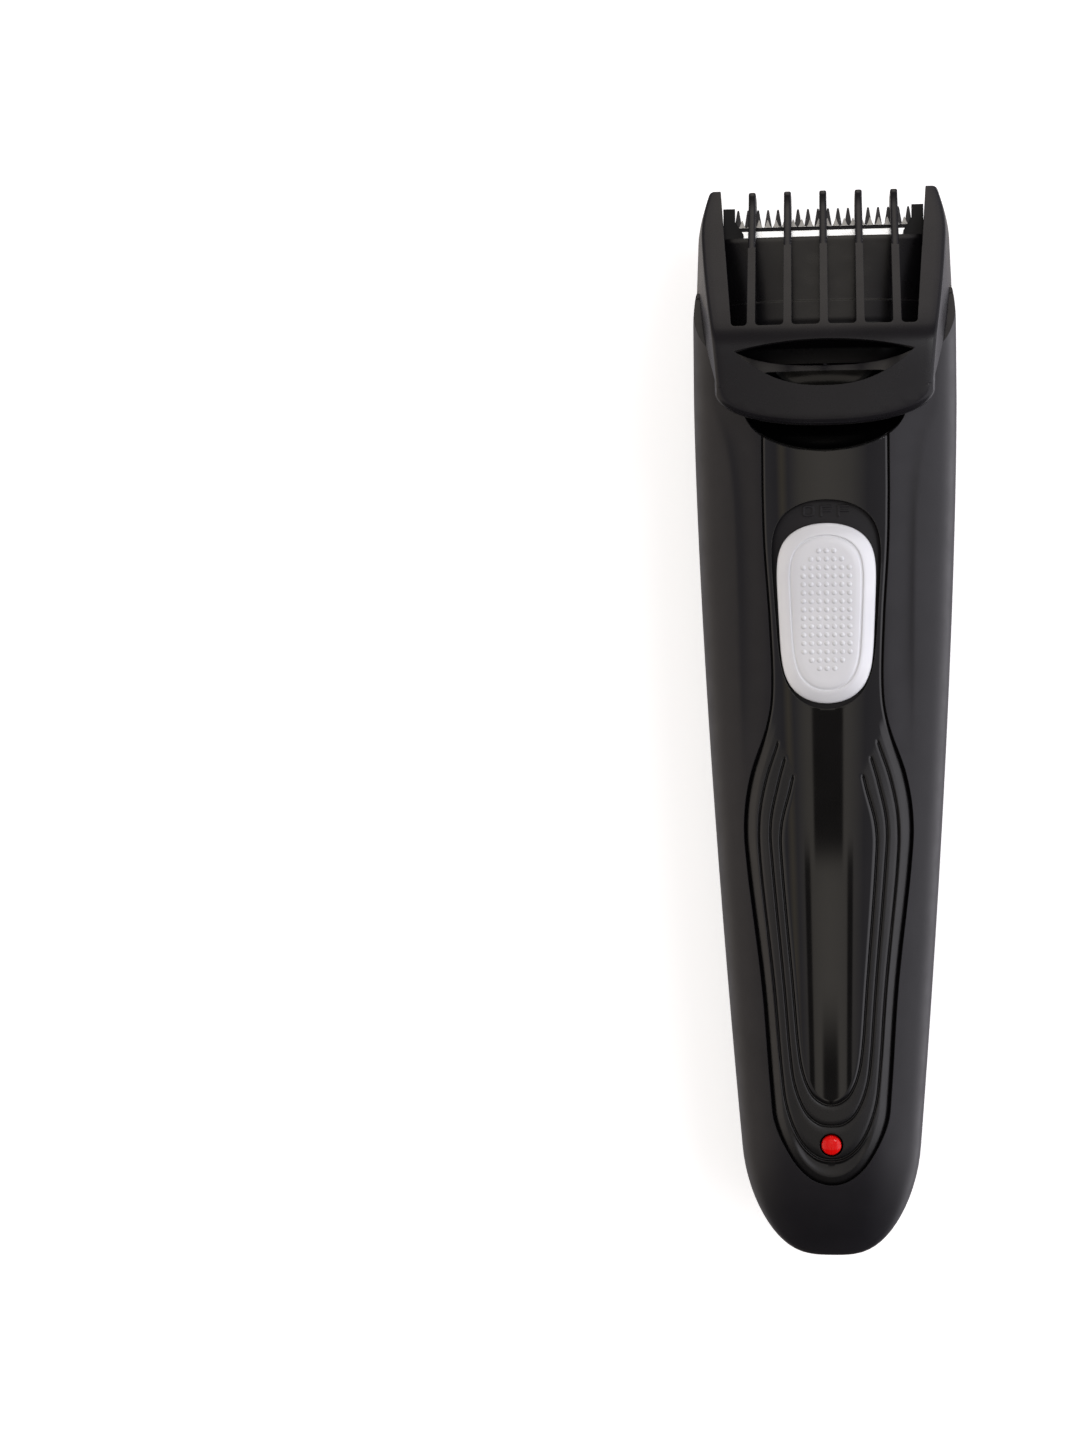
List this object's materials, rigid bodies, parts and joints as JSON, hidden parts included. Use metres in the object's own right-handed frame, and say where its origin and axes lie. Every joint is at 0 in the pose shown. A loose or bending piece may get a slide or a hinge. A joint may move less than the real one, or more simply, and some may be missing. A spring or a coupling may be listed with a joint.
{
  "type": "hair clipper",
  "caption": "Cordless hair clipper with a tapered casing, slide switch, oscillating blade and a sliding length comb, lying on its back.",
  "frame": {"origin": "under the middle of the object's box, on the surface it lies on", "axes": "+Z out of the front face with the switch, +Y towards the blades, +X to the right seen from the front"},
  "size_m": [0.0404, 0.1644, 0.0322],
  "materials": {
    "casing": "satin charcoal black moulding",
    "panel": "high gloss black inlay",
    "lens": "clear red light pipe",
    "switch_silver": "satin silver coated plastic",
    "comb": "semi-gloss black moulding",
    "head": "black moulding",
    "blade_steel": "polished and ground steel",
    "dark_steel": "blackened steel",
    "nickel": "nickel plated",
    "inner_plastic": "natural white moulding",
    "board": "green circuit board",
    "cell_wrap": "plain blue shrink wrap",
    "magnet": "grey ferrite",
    "lead_red": "red wire insulation",
    "lead_black": "black wire insulation"
  },
  "bodies": {
    "housing": {"rear_shell": "casing", "front_shell": "casing", "front_panel": "panel", "led_lens": "lens", "case_screw_foot": "dark_steel", "case_screw_middle": "dark_steel", "head_housing": "head", "fixed_blade": "dark_steel", "blade_spring": "blade_steel", "blade_screw_left": "nickel", "blade_screw_right": "nickel", "motor_can": "nickel", "motor_end_cap": "inner_plastic", "motor_magnet_left": "magnet", "motor_magnet_right": "magnet", "motor_mount": "head", "battery_cell": "cell_wrap", "battery_tab_positive": "nickel", "battery_tab_negative": "nickel", "circuit_board": "board", "switch_block": "head", "usb_socket": "nickel", "charge_led": "inner_plastic", "motor_lead_red": "lead_red", "motor_lead_black": "lead_black"},
    "comb": {"comb_guard": "comb"},
    "switch": {"switch_button": "switch_silver", "switch_carrier": "inner_plastic"},
    "rotor": {"motor_shaft": "blade_steel", "motor_armature": "dark_steel", "eccentric_cam": "inner_plastic"},
    "cutter": {"moving_blade": "blade_steel", "blade_carriage": "inner_plastic"}
  },
  "joints": [
    {"name": "comb_slide", "type": "slide", "parent": "housing", "child": "comb", "axis": [0, 1, 0], "range_m": [0, 0.045]},
    {"name": "switch_slide", "type": "slide", "parent": "housing", "child": "switch", "axis": [0, 1, 0], "range_m": [0, 0.003]},
    {"name": "rotor_spin", "type": "hinge", "parent": "housing", "child": "rotor", "pos_m": [0, 0.045, 0.016], "axis": [0, 1, 0], "continuous": true},
    {"name": "cutter_slide", "type": "slide", "parent": "housing", "child": "cutter", "axis": [1, 0, 0], "range_m": [-0.001, 0.001]}
  ]
}
